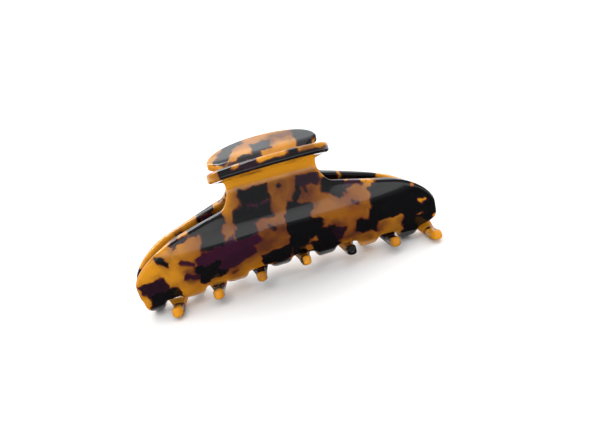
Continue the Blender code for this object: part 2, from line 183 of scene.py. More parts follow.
def bent(x, height):
    """Place of blank points on the front jaw's middle surface, in millimetres.

    The section is drawn in toward the clip's middle plane by a power of the share of the half length,
    and lowered by the sag. Past its root, each tooth keeps the draw and the sag of its own middle.
    """
    outward, upward = section(height)
    low = section(np.clip(height, 0, LOWER_EDGE))[0]
    number = np.clip(np.round(np.interp(x, tooth_x(np.arange(TEETH)), np.arange(TEETH))), 0, TEETH - 1)
    past_root = smooth((height - LOWER_EDGE) / ROOT_SETTLE)
    draw_x = np.abs(x) ** END_CURVE * (1 - past_root) + np.abs(tooth_x(number)) ** END_CURVE * past_root
    drawn = draw_x / HALF_LENGTH**END_CURVE * smooth(height / END_SETTLE)
    sag = sag_at(x) * (1 - past_root) + sag_at(tooth_pair_x(number)) * past_root
    y = NECK_OFFSET + outward - drawn * (NECK_OFFSET + low - END_OFFSET)
    z = HINGE_HEIGHT + upward - sag * smooth(height / SAG_SETTLE)
    return np.stack((x, -y, z), axis=-1)


def outward_normal(x, height):
    """Unit normal of the front jaw's middle surface: the cross product of its two slopes."""
    step = 0.02
    along = bent(x + step, height) - bent(x - step, height)
    down = bent(x, height + step) - bent(x, height - step)
    normal = np.cross(down, along)
    normal /= np.linalg.norm(normal, axis=-1, keepdims=True)
    return normal


def neck_half_width(height):
    """Half width from the tab's widest line to the shoulder: an eased waist, then a fillet outward."""
    waist = smooth((height - TAB_WIDEST) / (WAIST_LINE - TAB_WIDEST))
    spread = np.clip(height - NECK_LINE, 0, None) / (SHOULDER_LINE - NECK_LINE)
    widening = (SHOULDER_HALF_WIDTH - NECK_HALF_WIDTH) * spread**NECK_FILLET
    return TAB_HALF_WIDTH + (NECK_HALF_WIDTH - TAB_HALF_WIDTH) * waist + widening


def top_edge(x):
    """Height of the body's upper edge: a gentle slope and a quarter ellipse to its end, longer at left."""
    half_length = np.where(x < 0, LEFT_HALF_LENGTH, HALF_LENGTH)
    round_start = np.where(x < 0, LEFT_ROUND_START, TOP_ROUND_START)
    slope = SHOULDER_LINE + TOP_SLOPE * np.clip(np.abs(x) - SHOULDER_HALF_WIDTH, 0, None)
    part = np.clip(np.abs(x) - round_start, 0, None) / (half_length - round_start)
    end = END_MIDDLE - END_FLAT
    return end - (end - slope) * np.sqrt(np.clip(1 - part**2, 0, None))


def lower_edge(x):
    """Height of the body's lower edge: level, with a smaller quarter ellipse to its end."""
    half_length = np.where(x < 0, LEFT_HALF_LENGTH, HALF_LENGTH)
    part = np.clip(np.abs(x) - LOWER_ROUND_START, 0, None) / (half_length - LOWER_ROUND_START)
    end = END_MIDDLE + END_FLAT
    return end + (LOWER_EDGE - end) * np.sqrt(np.clip(1 - part**2, 0, None))


def tooth_side(number, sign):
    """One side of a tooth from root to tip: an eased taper, with a quarter ellipse at each of its ends."""
    flare = END_ROOT_FLARE if number == 0 and sign < 0 else ROOT_FLARE
    turn = np.linspace(0, math.pi / 2, TIP_POINTS)
    notch = NOTCH_LENGTH * (1 - np.cos(turn))
    down = np.concatenate((notch, np.linspace(NOTCH_LENGTH, FLARE_LENGTH, FLARE_POINTS)[1:]))
    past_notch = np.clip(down / NOTCH_LENGTH, 0, 1)
    fillet = NOTCH_ROUND * (1 - np.sqrt(1 - (1 - past_notch) ** 2))
    width = TOOTH_HALF_WIDTH + flare * (1 - smooth(down / FLARE_LENGTH)) + fillet
    tip = (TOOTH_HALF_WIDTH * np.cos(turn), TOOTH_END - TIP_ROUND * (1 - np.sin(turn)))
    root_x = tooth_x(number) + sign * width[0]
    height = np.concatenate((np.atleast_1d(lower_edge(root_x)), LOWER_EDGE + down[1:], tip[1]))
    return np.stack((tooth_x(number) + sign * np.concatenate((width, tip[0])), height), axis=-1)


def blank_outline():
    """The closed outline of the blank: tab, neck, upper edge, end, and teeth in turn.

    Its points are evenly spaced, and each is averaged with its neighbours a few times, which rounds the
    corners.
    """
    turn = np.linspace(-math.pi / 2, math.pi / 2, TAB_POINTS)
    oval = np.abs(np.cos(turn)) ** (2 / TAB_CURVE)
    tab = np.stack((TAB_HALF_WIDTH * np.sin(turn), TAB_WIDEST - TAB_ROUND * oval), axis=-1)
    neck_height = np.linspace(TAB_WIDEST, SHOULDER_LINE, NECK_POINTS)[1:]
    neck = np.stack((neck_half_width(neck_height), neck_height), axis=-1)
    end_turn = np.sin(np.linspace(0, math.pi / 2, BODY_POINTS))
    right_x = SHOULDER_HALF_WIDTH + (HALF_LENGTH - SHOULDER_HALF_WIDTH) * end_turn[1:]
    left_x = -SHOULDER_HALF_WIDTH - (LEFT_HALF_LENGTH - SHOULDER_HALF_WIDTH) * end_turn[:0:-1]
    path = [tab, neck, np.stack((right_x, top_edge(right_x)), axis=-1)]
    start = HALF_LENGTH
    for number in reversed(range(TEETH)):
        right = tooth_side(number, 1)
        left = tooth_side(number, -1)
        between = start + (right[0, 0] - start) * (1 - end_turn[::-1] if start == HALF_LENGTH else end_turn)
        path.append(np.stack((between, lower_edge(between)), axis=-1))
        path.extend((right, left[::-1]))
        start = left[0, 0]
    between = start + (-LEFT_HALF_LENGTH - start) * end_turn
    path.append(np.stack((between, lower_edge(between)), axis=-1))
    path.append(np.stack((left_x, top_edge(left_x)), axis=-1))
    path.append(neck[::-1] * (-1.0, 1.0))
    path = np.concatenate(path)
    path = path[np.linalg.norm(path - np.roll(path, 1, axis=0), axis=1) > SAME_PLACE]
    ring = np.concatenate((path, path[:1]))
    travelled = np.concatenate(([0.0], np.cumsum(np.linalg.norm(np.diff(ring, axis=0), axis=1))))
    places = np.linspace(0, travelled[-1], round(travelled[-1] / OUTLINE_STEP), endpoint=False)
    outline = np.stack([np.interp(places, travelled, ring[:, axis]) for axis in (0, 1)], axis=-1)
    for _ in range(CORNER_POLISH):
        outline = (np.roll(outline, 1, axis=0) + 2 * outline + np.roll(outline, -1, axis=0)) / 4
    return outline


def inset(outline, distance):
    """The outline moved inward by a distance, square to the line through each point's neighbours."""
    along = np.roll(outline, -1, axis=0) - np.roll(outline, 1, axis=0)
    along /= np.linalg.norm(along, axis=1, keepdims=True)
    inward = np.stack((-along[:, 1], along[:, 0]), axis=-1)
    return outline + distance * inward


def distance_to(points, outline):
    """Shortest distance from points to the outline's corners, worked out in blocks of points."""
    blocks = np.array_split(points, max(len(points) // POINT_BLOCK, 1))
    return np.concatenate(
        [np.sqrt(((block[:, None] - outline[None]) ** 2).sum(axis=-1).min(axis=1)) for block in blocks]
    )


def inside(points, outline):
    """Whether points lie inside the outline: an odd number of its sides cross the line to their right."""
    ahead = np.roll(outline, -1, axis=0)
    crossings = np.zeros(len(points), int)
    blocks = np.array_split(np.arange(len(points)), max(len(points) // POINT_BLOCK, 1))
    for block in blocks:
        x = points[block, 0][:, None]
        height = points[block, 1][:, None]
        between = (outline[:, 1] > height) != (ahead[:, 1] > height)
        rise = np.where(ahead[:, 1] == outline[:, 1], 1.0, ahead[:, 1] - outline[:, 1])
        crossing_x = outline[:, 0] + (height - outline[:, 1]) / rise * (ahead[:, 0] - outline[:, 0])
        crossings[block] = (between & (crossing_x > x)).sum(axis=1)
    return crossings % 2 == 1


def filled_blank(loop):
    """The blank's face within a loop: a staggered grid of points joined into triangles with the loop."""
    x = np.arange(-HALF_LENGTH, HALF_LENGTH, FACE_STEP)
    height = np.arange(TAB_TIP, TOOTH_END, FACE_STEP)
    grid_x, grid_height = np.meshgrid(x, height)
    grid_x[1::2] += FACE_STEP / 2
    grid = np.stack((grid_x.ravel(), grid_height.ravel()), axis=-1)
    grid = grid[inside(grid, loop)]
    grid = grid[distance_to(grid, loop) > FACE_MARGIN]
    face = np.concatenate((loop, grid))
    corners = [Vector(corner) for corner in face.tolist()]
    sides = [(index, (index + 1) % len(loop)) for index in range(len(loop))]
    found = delaunay_2d_cdt(corners, sides, [], 0, JOIN_WITHIN, True)
    given = np.array([sources[0] for sources in found[3]])
    triangles = given[np.array(found[2])]
    return face, triangles[inside(face[triangles].mean(axis=1), loop)]


def jaw_mesh(name, outline):
    """The bent and polished sheet: a rounded edge profile carried round the outline between two faces.

    At a turn t of the edge's rounding, the profile lies EDGE_ROUNDING * (1 - cos t) inside the outline
    and has EDGE_THICKNESS + (1 - EDGE_THICKNESS) * sin t of the sheet's thickness.
    """
    rings = [inset(outline, EDGE_ROUNDING * (1 - math.cos(turn))) for turn in EDGE_TURNS]
    shares = EDGE_THICKNESS + (1 - EDGE_THICKNESS) * np.sin(EDGE_TURNS)
    face, triangles = filled_blank(rings[-1])
    count = len(outline)
    edge_loops = list(zip(rings, shares))
    profile = [(ring, share) for ring, share in reversed(edge_loops[:-1])]
    profile += [(ring, -share) for ring, share in edge_loops[:-1]]
    flat = np.concatenate([face, face] + [ring for ring, _ in profile])
    share = np.concatenate([np.full(len(face), 1.0), np.full(len(face), -1.0)]
                           + [np.full(count, part) for _, part in profile])
    half = (SHEET - POLISHED_OFF) / 2
    place = bent(flat[:, 0], flat[:, 1])
    place += outward_normal(flat[:, 0], flat[:, 1]) * (share * half)[:, None]
    starts = [0] + [2 * len(face) + count * step for step in range(len(profile))] + [len(face)]
    index = np.arange(count)
    ahead = (index + 1) % count
    bands = [
        np.stack((index + above, ahead + above, ahead + below, index + below), axis=-1)
        for above, below in zip(starts, starts[1:])
    ]
    bands = np.concatenate(bands)
    mesh = bpy.data.meshes.new(name)
    faces = triangles[:, ::-1].tolist() + (triangles + len(face)).tolist() + bands.tolist()
    mesh.from_pydata((place * MM).tolist(), [], faces)
    mesh.shade_smooth()
    return mesh, flat, share


def add(name, data):
    """A new object with this name, in the scene."""
    made = bpy.data.objects.new(name, data)
    bpy.context.scene.collection.objects.link(made)
    return made


# The pattern of the sheet, charted in millimetres on the blank: boxes with half sizes and a turn in
# degrees.
# The dark charts hold the chunks, and plum is how much one shows wine red rather than black. Skin is dark
# only in the outer half of the thickness: chunks on the back jaw, and on the front jaw a painted shade
# along the underside of its tab. Smoke is brown zones, and clear is amber specks in the dark.
FRONT_DARK = (
    # x, height, half_length, half_depth, turn, plum
    (-47.0, 22.2, 4.8, 2.8, -5, 0.60),
    (-44.4, 27.2, 5.3, 3.2, 0, 0.10),
    (-41.6, 14.0, 2.6, 1.0, 36, 0.15),
    (-33.9, 17.1, 2.6, 0.8, 31, 1.00),
    (-33.6, 22.6, 2.6, 1.2, 20, 0.70),
    (-34.2, 9.2, 3.3, 0.9, -8, 0.10),
    (-36.0, 10.6, 0.8, 0.9, 0, 0.10),
    (-27.6, 7.5, 3.4, 1.5, -10, 0.10),
    (-23.3, 10.8, 3.9, 5.0, 8, 0.00),
    (-20.6, 6.3, 2.6, 2.4, 0, 0.00),
    (-23.2, 17.9, 7.6, 3.0, -12, 1.00),
    (-27.0, 22.4, 5.0, 4.0, -8, 0.30),
    (-18.6, 21.0, 7.4, 3.0, -18, 0.75),
    (-13.2, 16.6, 4.6, 2.4, -10, 1.00),
    (-6.9, 3.7, 4.9, 2.9, 2, 0.10),
    (-12.2, 10.8, 3.0, 5.2, -4, 0.00),
    (-7.4, 9.0, 5.0, 2.5, 3, 0.00),
    (-6.6, 6.9, 3.8, 0.9, 8, 0.90),
    (-12.9, 14.4, 3.3, 2.5, 0, 0.05),
    (-4.2, 14.6, 1.7, 0.7, 62, 0.60),
    (-19.5, 26.0, 1.2, 0.4, -8, 0.50),
    (-5.0, 25.8, 5.2, 3.0, -3, 0.10),
    (1.3, 3.2, 0.9, 0.9, 0, 0.20),
    (10.7, 3.4, 3.8, 1.9, 6, 0.65),
    (6.2, 7.2, 3.4, 1.1, 120, 0.10),
    (9.2, 6.6, 2.0, 0.8, 80, 0.30),
    (5.2, 13.0, 4.2, 3.6, 20, 0.05),
    (8.6, 17.6, 3.4, 3.0, 30, 0.10),
    (3.6, 19.0, 3.4, 5.0, 0, 0.20),
    (8.5, 24.6, 8.4, 5.0, -3, 0.25),
    (15.6, 22.6, 3.6, 2.6, 25, 0.55),
    (18.4, 6.8, 4.2, 2.4, 8, 0.15),
    (19.3, 9.1, 1.6, 1.5, 45, 0.00),
    (24.6, 7.0, 3.4, 1.1, -4, 0.85),
    (24.4, 13.6, 1.0, 0.5, 10, 0.90),
    (42.4, 14.8, 12.9, 7.2, 0, 0.00),
    (32.0, 19.5, 4.0, 3.0, 0, 0.00),
    (27.0, 22.8, 4.0, 2.8, 8, 0.10),
    (47.5, 20.5, 7.5, 4.5, 0, 0.00),
    (45.6, 26.6, 6.0, 3.3, 0, 0.10),
    (-13.4, -15.6, 2.4, 1.5, -20, 0.40),
    (-6.2, -17.6, 2.6, 1.6, -6, 0.60),
    (7.2, -17.4, 1.7, 2.0, 12, 0.40),
    (-6.0, -11.5, 3.4, 4.5, 0, 0.55),
    (7.0, -12.5, 1.5, 3.8, 12, 0.60),
    (-15.5, -8.0, 3.2, 1.3, 0, 0.30),
    (-47.6, 32.5, 3.2, 4.0, 0, 0.10),
    (-35.5, 38.0, 3.0, 2.0, 20, 0.20),
    (-19.8, 40.0, 3.0, 2.4, -15, 0.10),
    (-4.0, 33.0, 3.2, 4.2, 0, 0.10),
    (12.0, 33.0, 3.2, 4.4, 0, 0.10),
    (27.5, 39.5, 3.0, 2.2, 10, 0.30),
    (42.0, 32.5, 3.2, 4.2, 0, 0.10),
)
# Painted shade: a dark band in the outer half of the sheet along the rim of the tab, where its underside
# lies in shade.
FRONT_TAB_UNDERSIDE_SHADE = (
    # x, height, half_length, half_depth, turn, plum
    (-10.8, -16.2, 4.4, 1.6, -19, 0.40),
    (0.0, -17.8, 9.0, 1.3, 0, 0.30),
    (11.0, -16.2, 4.8, 2.2, 19, 0.10),
    (16.2, -13.6, 3.8, 2.2, 40, 0.10),
    (18.6, -9.6, 2.0, 1.8, 70, 0.20),
)
FRONT_SMOKE = (
    # x, height, half_length, half_depth, turn
    (35.0, 25.8, 5.0, 3.2, 0),
    (15.6, 22.4, 4.6, 4.0, 0),
    (-12.5, 20.2, 8.5, 3.6, -12),
    (-4.6, 18.4, 5.8, 4.2, 0),
    (-31.4, 22.4, 4.6, 2.8, 0),
    (45.4, 12.0, 2.0, 2.0, 0),
    (48.6, 21.5, 3.0, 2.0, 0),
    (21.0, 24.5, 4.0, 2.4, 0),
    (9.2, 8.8, 3.0, 3.0, 0),
    (24.6, 27.4, 4.0, 1.6, 0),
    (-15.0, -14.0, 5.0, 4.0, 0),
    (14.0, -16.0, 4.0, 2.0, 0),
)
FRONT_CLEAR = (
    # x, height, half_length, half_depth, turn
    (7.8, 23.0, 1.5, 0.7, 0),
    (6.3, 26.2, 1.0, 1.4, 0),
    (9.0, 8.6, 0.9, 1.2, 0),
    (29.6, 8.4, 2.6, 1.2, -32),
    (45.3, 12.0, 1.0, 0.8, 0),
    (48.3, 18.3, 1.5, 0.7, -10),
    (46.8, 23.1, 1.0, 0.4, 0),
    (-51.6, 26.0, 1.7, 2.2, 0),
)
BACK_DARK = (
    # x, height, half_length, half_depth, turn, plum
    (12.8, -10.3, 5.6, 2.2, 62, 0.10),
    (9.0, -15.8, 3.0, 1.3, 0, 0.10),
    (11.0, -4.8, 3.2, 0.4, 0, 0.60),
    (4.9, -5.7, 4.3, 1.2, 0, 0.05),
    (0.0, -9.9, 3.5, 2.8, 0, 0.00),
    (3.8, -2.2, 2.6, 1.8, 0, 0.70),
    (-14.6, -9.8, 2.6, 5.4, 0, 0.05),
    (-17.8, -9.0, 2.6, 3.0, 0, 0.05),
    (2.0, -18.3, 1.8, 0.6, 0, 0.40),
    (-10.0, -18.4, 1.6, 0.6, 0, 0.40),
    (-7.6, -3.4, 1.6, 0.8, 0, 0.60),
    (18.3, 3.6, 1.0, 1.1, 0, 0.80),
    (24.0, 6.0, 2.6, 1.2, 10, 0.10),
    (24.5, 8.8, 1.8, 1.4, 0, 1.00),
    (27.2, 8.4, 0.8, 1.8, 0, 0.10),
    (34.0, 12.2, 2.2, 2.6, 0, 0.05),
    (42.2, 15.2, 0.8, 0.4, 0, 0.70),
    (44.4, 18.4, 0.6, 0.7, 0, 0.60),
    (49.9, 20.4, 3.8, 4.6, 0, 0.05),
    (-26.0, 7.2, 10.4, 2.6, -2, 0.05),
    (-46.6, 13.8, 2.8, 2.0, 10, 0.05),
    (-30.0, 20.0, 5.0, 4.5, 20, 0.10),
    (-14.0, 16.0, 5.0, 4.0, -20, 0.30),
    (2.0, 12.0, 5.5, 4.5, 15, 0.05),
    (14.0, 20.0, 5.0, 4.0, -30, 0.10),
    (27.0, 21.5, 4.5, 3.5, 25, 0.40),
    (-45.0, 22.0, 5.0, 3.5, 10, 0.10),
    (-1.0, 24.5, 4.5, 2.6, 0, 0.20),
    (-3.0, 2.4, 4.0, 2.2, 10, 0.15),
    (13.0, 5.0, 2.4, 3.2, 20, 0.15),
    (39.0, 24.0, 3.4, 2.4, -20, 0.30),
    (-20.0, 27.0, 3.0, 2.0, 0, 0.60),
    (41.8, 38.4, 3.0, 1.9, 12, 0.20),
    (27.3, 38.6, 3.0, 3.2, 6, 0.05),
    (12.0, 37.0, 3.0, 5.0, 0, 0.55),
    (-4.0, 37.4, 3.0, 0.9, 0, 0.50),
    (-4.0, 41.8, 3.0, 0.8, 14, 0.30),
    (-21.2, 34.6, 1.2, 1.6, 0, 0.20),
    (-19.8, 43.4, 3.0, 2.6, 0, 0.05),
    (-35.2, 37.0, 3.2, 5.0, 0, 0.45),
    (-49.2, 36.0, 1.3, 0.6, 0, 0.80),
)
BACK_SKIN = (
    # x, height, half_length, half_depth, turn, plum
    (-14.0, 26.0, 5.0, 2.0, 10, 0.30),
    (20.0, 12.0, 4.0, 3.0, -20, 0.50),
)
BACK_SMOKE = (
    # x, height, half_length, half_depth, turn
    (24.5, 8.8, 3.6, 2.4, 0),
    (-8.0, -12.0, 5.0, 4.0, 0),
    (8.0, 18.0, 5.0, 4.0, 20),
    (-22.0, 14.0, 5.0, 3.0, 0),
    (-38.0, 27.0, 5.0, 2.6, 0),
    (33.0, 18.0, 5.0, 3.0, 0),
    (-35.2, 43.0, 3.0, 3.0, 0),
    (12.0, 43.4, 2.0, 1.2, 0),
    (-19.8, 37.0, 3.0, 2.0, 0),
)
BACK_CLEAR = (
    # x, height, half_length, half_depth, turn
    (-23.5, 6.6, 0.7, 1.0, 0),
    (-31.0, 21.0, 1.2, 0.9, 0),
    (3.5, 11.5, 1.0, 0.8, 0),
)
TORN_DEPTH = 0.32
TORN_LENGTH = 4.6
TORN_WAVES = (
    # direction in radians, share of the length and of the depth
    (0.4, 1.0),
    (1.7, 0.62),
    (2.6, 0.41),
)
TORN_SHIFT = 9.0
SMOKE_EASE = 2.6

# Painted glow: the amber is painted lighter where light would come through the sheet: the cut edge, the
# ends, the neck (less so toward the tab) and the teeth. Most have a strength, a place where they start and
# the millimetres over which they grow.
EDGE_GLOW = 1.6
END_GLOW = 0.8
END_GLOW_START = 24.0
END_GLOW_EASE = 22.0
NECK_GLOW = 0.8
NECK_GLOW_START = 2.5
NECK_GLOW_EASE = 5.0
TAB_SHADE = 0.6
TAB_SHADE_START = -8.5
TAB_SHADE_EASE = 4.0
TOOTH_GLOW_EASE = 4.0


def torn(x, height):
    """A ragged push in millimetres: triangle waves in three directions across the blank."""
    push = 0.0
    for turn, length in TORN_WAVES:
        phase = (x * math.cos(turn) + height * math.sin(turn)) / (TORN_LENGTH * length)
        push = push + TORN_DEPTH * length * (4 * np.abs(phase - np.floor(phase + 0.5)) - 1)
    return push


def deepest(x, height, chart):
    """Signed depth in millimetres inside the deepest box of a chart, below 0 outside all, and its row.

    Outside a box the depth is the distance to it, and inside, the distance to its nearest side.
    """
    x_torn = x + torn(height, x)
    height_torn = height + torn(x, height + TORN_SHIFT)
    rows = np.array(chart)
    away_x = x_torn[:, None] - rows[:, 0]
    away_height = height_torn[:, None] - rows[:, 1]
    turn = np.radians(rows[:, 4])
    along = np.abs(away_x * np.cos(turn) + away_height * np.sin(turn)) - rows[:, 2]
    across = np.abs(away_height * np.cos(turn) - away_x * np.sin(turn)) - rows[:, 3]
    outside = np.hypot(np.clip(along, 0, None), np.clip(across, 0, None))
    depth = -(outside + np.minimum(np.maximum(along, across), 0))
    row = depth.argmax(axis=1)
    return depth[np.arange(len(depth)), row], row


def chart_onto(mesh, flat, share, dark_chart, skin_chart, smoke_chart, clear_chart, outline):
    """Give the mesh its pattern: depth into the dark, share of plum and smoke, and light let through.

    The dark of the skin chart, chunks and a painted shade under the front tab, lies only in the outer half
    of the sheet's thickness.
    """
    x, height = flat[:, 0], flat[:, 1]
    dark, row = deepest(x, height, dark_chart)
    clear, _ = deepest(x, height, clear_chart)
    skin, skin_row = deepest(x, height, skin_chart)
    skin = np.minimum(skin, share * SHEET / 2)
    plum = np.where(skin > dark, np.array(skin_chart)[skin_row, 5], np.array(dark_chart)[row, 5])
    dark = np.maximum(dark, skin)
    smoke = smooth(deepest(x, height, smoke_chart)[0] / SMOKE_EASE + 0.5)
    edge = np.exp(-distance_to(flat, outline) / EDGE_GLOW)
    ends = END_GLOW * smooth((np.abs(x) - END_GLOW_START) / END_GLOW_EASE)
    tab_shade = TAB_SHADE * smooth((TAB_SHADE_START - height) / TAB_SHADE_EASE)
    neck = NECK_GLOW * smooth((NECK_GLOW_START - height) / NECK_GLOW_EASE) * (1 - tab_shade)
    teeth = smooth((height - LOWER_EDGE) / TOOTH_GLOW_EASE)
    light = 1 - (1 - edge) * (1 - ends) * (1 - neck) * (1 - teeth)
    painted = (("dark", np.minimum(dark, -clear)), ("plum", plum), ("smoke", smoke), ("light", light))
    for name, values in painted:
        mesh.attributes.new(name, "FLOAT", "POINT").data.foreach_set("value", values.astype(np.float32))


class Wire:
    """A socket in a material, on which arithmetic adds Math nodes, and a way to add other nodes."""

    def __init__(self, tree, socket):
        self.tree = tree
        self.socket = socket

    def node(self, kind, settings, inputs, output=0):
        """A node of a kind with its settings, then its sockets' values or links, by name or number."""
        made = self.tree.nodes.new(kind)
        for key, value in settings.items():
            setattr(made, key, value)
        for key, value in inputs.items():
            if isinstance(value, Wire):
                self.tree.links.new(value.socket, made.inputs[key])
            else:
                made.inputs[key].default_value = value
        return Wire(self.tree, made.outputs[output])

    def maths(self, operation, *values):
        """A Math node over these values."""
        return self.node("ShaderNodeMath", {"operation": operation}, dict(enumerate(values)))

    def __add__(self, other):
        return self.maths("ADD", self, other)

    def __sub__(self, other):
        return self.maths("SUBTRACT", self, other)

    def __rsub__(self, other):
        return self.maths("SUBTRACT", other, self)

    def __mul__(self, other):
        return self.maths("MULTIPLY", self, other)

    __radd__ = __add__
    __rmul__ = __mul__

    def ease(self, low, high):
        """0 below low, 1 above high, and a smooth step between."""
        settings = {"interpolation_type": "SMOOTHSTEP"}
        return self.node("ShaderNodeMapRange", settings, {0: self, 1: low, 2: high, 3: 0.0, 4: 1.0})

    def blend(self, first, second):
        """From the first colour to the second by this share."""
        return self.node("ShaderNodeMix", {"data_type": "RGBA"}, {0: self, 6: first, 7: second}, output=2)

    def noise(self, scale, detail=2.0):
        """Cloudy noise over this coordinate, with so many waves a metre."""
        return self.node("ShaderNodeTexNoise", {}, {"Vector": self, "Scale": scale, "Detail": detail})


def new_finish(name):
    """An empty material, its Principled shader, and a wire from its Object coordinates."""
    material = bpy.data.materials.new(name)
    material.use_nodes = True
    tree = material.node_tree
    shader = tree.nodes["Principled BSDF"]
    coordinates = tree.nodes.new("ShaderNodeTexCoord")
    return material, shader, Wire(tree, coordinates.outputs["Object"])


def feed(shader, socket, wire):
    """Link a wire to a socket of the shader."""
    wire.tree.links.new(wire.socket, shader.inputs[socket])


AMBER_LIT = (0.66, 0.275, 0.012, 1)
AMBER_DEEP = (0.255, 0.087, 0.006, 1)
AMBER_RED = (0.205, 0.058, 0.008, 1)
AMBER_SMOKED = (0.085, 0.022, 0.009, 1)
STAIN = (0.090, 0.018, 0.008, 1)
PLUM = (0.030, 0.005, 0.017, 1)
BLACK = (0.0030, 0.0027, 0.0033, 1)

# Noise in the sheet: waves a metre, and how far the ragged and the fine noise move a rim, in millimetres.
RAGGED_WAVES = 300
RAGGED_PUSH = 1.7
FINE_WAVES = 1100
FINE_PUSH = 0.3
CLOUD_WAVES = 75
CLOUD_EASE = (0.35, 0.68)
WISP_WAVES = 210
WISP_EASE = (0.3, 0.7)

# Depths in millimetres over which a rim turns brown outside a chunk, is stained, and turns dark. Then the
# strength of that brown, of the thinnest smoke, and of smoke where all light comes through.
HALO_EASE = (-3.2, 0.0)
STAIN_EASE = (-0.45, 0.15)
DARK_EASE = (-0.1, 0.5)
PLUM_EASE = (0.3, 0.95)
HALO_SHARE = 0.5
THIN_SMOKE = 0.5
LIT_SMOKE = 0.5

# The polish: roughness and how much it varies, and a slow ripple from buffing.
POLISH = 0.06
POLISH_CHANGE = 0.05
POLISH_WAVES = 300
RIPPLE_WAVES = 70
RIPPLE_DETAIL = 1.0
RIPPLE_HEIGHT = 0.4 * MM
RIPPLE_STRENGTH = 0.25


def tortoiseshell(name):
    """Polished amber acetate with torn dark chunks that pass from wine red at their rims to black."""
    material, shader, place = new_finish(name)

    def painted(attribute):
        return place.node("ShaderNodeAttribute", {"attribute_name": attribute}, {}, output=2)

    ragged = place.noise(RAGGED_WAVES) - 0.5
    fine = place.noise(FINE_WAVES) - 0.5
    depth = painted("dark") + RAGGED_PUSH * ragged + FINE_PUSH * fine
    cloud = place.noise(CLOUD_WAVES).ease(*CLOUD_EASE)
    light = painted("light")
    # Painted glow: the light attribute turns the amber toward the lit amber.
    amber = light.blend(cloud.blend(AMBER_DEEP, AMBER_RED), AMBER_LIT)
    wisps = place.noise(WISP_WAVES).ease(*WISP_EASE)
    amber = (depth.ease(*HALO_EASE) * wisps * HALO_SHARE).blend(amber, AMBER_SMOKED)
    smoke = painted("smoke") * (THIN_SMOKE + (1 - THIN_SMOKE) * wisps) * (1 - (1 - LIT_SMOKE) * light)
    amber = smoke.blend(amber, AMBER_SMOKED)
    stained = depth.ease(*STAIN_EASE).blend(amber, STAIN)
    dark = painted("plum").ease(*PLUM_EASE).blend(BLACK, PLUM)
    feed(shader, "Base Color", depth.ease(*DARK_EASE).blend(stained, dark))
    feed(shader, "Roughness", POLISH + POLISH_CHANGE * place.noise(POLISH_WAVES))
    ripple = place.noise(RIPPLE_WAVES, RIPPLE_DETAIL)
    relief = {"Strength": RIPPLE_STRENGTH, "Distance": RIPPLE_HEIGHT, "Height": ripple}
    feed(shader, "Normal", place.node("ShaderNodeBump", {}, relief))
    shader.inputs["IOR"].default_value = 1.5
    shader.inputs["Specular IOR Level"].default_value = 0.5
    shader.inputs["Subsurface Weight"].default_value = 0.35
    shader.inputs["Subsurface Radius"].default_value = (1.0, 0.45, 0.1)
    shader.inputs["Subsurface Scale"].default_value = 2.5 * MM
    return material


acetate = tortoiseshell("tortoiseshell acetate")
blank = blank_outline()
for side, charts, turn in (
    ("front", (FRONT_DARK, FRONT_TAB_UNDERSIDE_SHADE, FRONT_SMOKE, FRONT_CLEAR), 0.0),
    ("back", (BACK_DARK, BACK_SKIN, BACK_SMOKE, BACK_CLEAR), math.pi),
):
    mesh, flat, share = jaw_mesh(f"{side}_jaw_sheet", blank)
    chart_onto(mesh, flat, share, *charts, blank)
    mesh.transform(Matrix.Rotation(turn, 4, "Z"))
    mesh.materials.append(acetate)
    jaw = add(f"{side}_jaw_sheet", mesh)
    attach(jaw, side)
    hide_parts(f"{side}_jaw")


# The hinge lugs. Four plates of dark acetate, cut from sheet and glued inside the necks, two to a jaw. The
# pin passes through their holes, and they keep the meshes of the solids.
LUG_BLACK = (0.012, 0.008, 0.008, 1)
LUG_BROWN = (0.09, 0.022, 0.010, 1)
LUG_CLOUD_WAVES = 260
LUG_CLOUD_EASE = (0.45, 0.75)
LUG_GRAIN_WAVES = 900
LUG_ROUGHNESS = 0.14
LUG_ROUGHNESS_CHANGE = 0.16
CLOSE_DETAIL = 3.0


def dark_acetate(name):
    """Near black acetate with brown clouds, satin where it was sawn."""
    material, shader, place = new_finish(name)
    cloud = place.noise(LUG_CLOUD_WAVES, CLOSE_DETAIL).ease(*LUG_CLOUD_EASE)
    feed(shader, "Base Color", cloud.blend(LUG_BLACK, LUG_BROWN))
    feed(shader, "Roughness", LUG_ROUGHNESS + LUG_ROUGHNESS_CHANGE * place.noise(LUG_GRAIN_WAVES))
    return material


def put_on(finish, words):
    """Give a finish to the solids that have these words in their names."""
    for name, node in frame["nodes"].items():
        if words in name:
            node.data.materials.clear()
            node.data.materials.append(finish)


put_on(dark_acetate("dark acetate"), "_lug_")


# The pin and the two halves of the torsion spring. Both are drawn steel wire, and keep the meshes of the
# solids. The pin is peened at both ends, and the spring is coiled round it between the inner lugs.
PIN_STEEL = (0.66, 0.64, 0.60, 1)
SPRING_STEEL = (0.52, 0.51, 0.49, 1)
PIN_ROUGHNESS = 0.16
SPRING_ROUGHNESS = 0.24
MARK_WAVES = 2600
MARK_SHADE = 0.82
MARK_ROUGHNESS = 0.16


def steel(name, colour, roughness):
    """Steel with fine drawing marks in its gloss."""
    material, shader, place = new_finish(name)
    marks = place.noise(MARK_WAVES, CLOSE_DETAIL)
    feed(shader, "Base Color", marks.blend(colour, tuple(MARK_SHADE * part for part in colour[:3]) + (1,)))
    feed(shader, "Roughness", roughness + MARK_ROUGHNESS * marks)
    shader.inputs["Metallic"].default_value = 1.0
    return material


put_on(steel("pin steel", PIN_STEEL, PIN_ROUGHNESS), "hinge_pin")
put_on(steel("spring steel", SPRING_STEEL, SPRING_ROUGHNESS), "_spring_")


